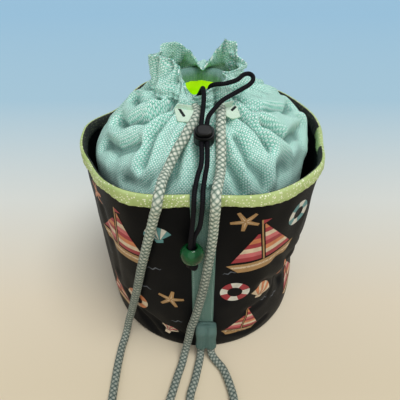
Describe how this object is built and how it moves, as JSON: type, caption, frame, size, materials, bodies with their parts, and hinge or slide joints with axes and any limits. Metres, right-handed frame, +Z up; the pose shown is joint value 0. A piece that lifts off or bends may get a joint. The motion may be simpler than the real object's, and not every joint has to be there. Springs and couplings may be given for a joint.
{
  "type": "drawstring bucket bag",
  "caption": "Filled drawstring bucket bag: dark printed pocket wall, mint canvas body gathered into a ruffle, rope straps ending in a bottom tab, thin black drawcord with cord lock and bead.",
  "frame": {"origin": "middle of the base, on the floor", "axes": "+Z up through the neck, front (strip, tab and cord lock) towards -Y"},
  "size_m": [0.2376, 0.3628, 0.2895],
  "materials": {
    "printed_cloth": "coated cotton",
    "dotted_tape": "folded cotton tape",
    "mint_canvas": "basket weave",
    "lime_lining": "plain cotton",
    "pale_mint_cloth": "plain cotton",
    "rope_braid": "speckled braid",
    "black_cord": "braided nylon",
    "black_plastic": "satin",
    "spring_steel": "drawn wire",
    "green_bead": "polished"
  },
  "bodies": {
    "bag": {"outer_base": "printed_cloth", "outer_wall": "printed_cloth", "rim_binding": "dotted_tape", "bag_body": "mint_canvas", "lining": "lime_lining", "lining_base": "lime_lining", "front_strip": "pale_mint_cloth", "bottom_tab": "pale_mint_cloth", "eyelet_patch_left": "pale_mint_cloth", "eyelet_patch_right": "pale_mint_cloth", "shoulder_rope": "rope_braid", "drawcord": "black_cord", "bead": "green_bead"},
    "lock": {"lock_body": "black_plastic", "lock_spring": "spring_steel"},
    "lock_button": {"lock_plunger": "black_plastic"}
  },
  "joints": [
    {"name": "lock_slide", "type": "slide", "parent": "bag", "child": "lock", "axis": [0, -0.8442, -0.5361], "range_m": [0, 0.015]},
    {"name": "lock_button_press", "type": "slide", "parent": "lock", "child": "lock_button", "axis": [0, 0.5361, -0.8442], "range_m": [0, 0.0025], "stiffness_N_per_m": 400, "springref_m": -0.002, "deforming": ["lock_spring"]}
  ]
}
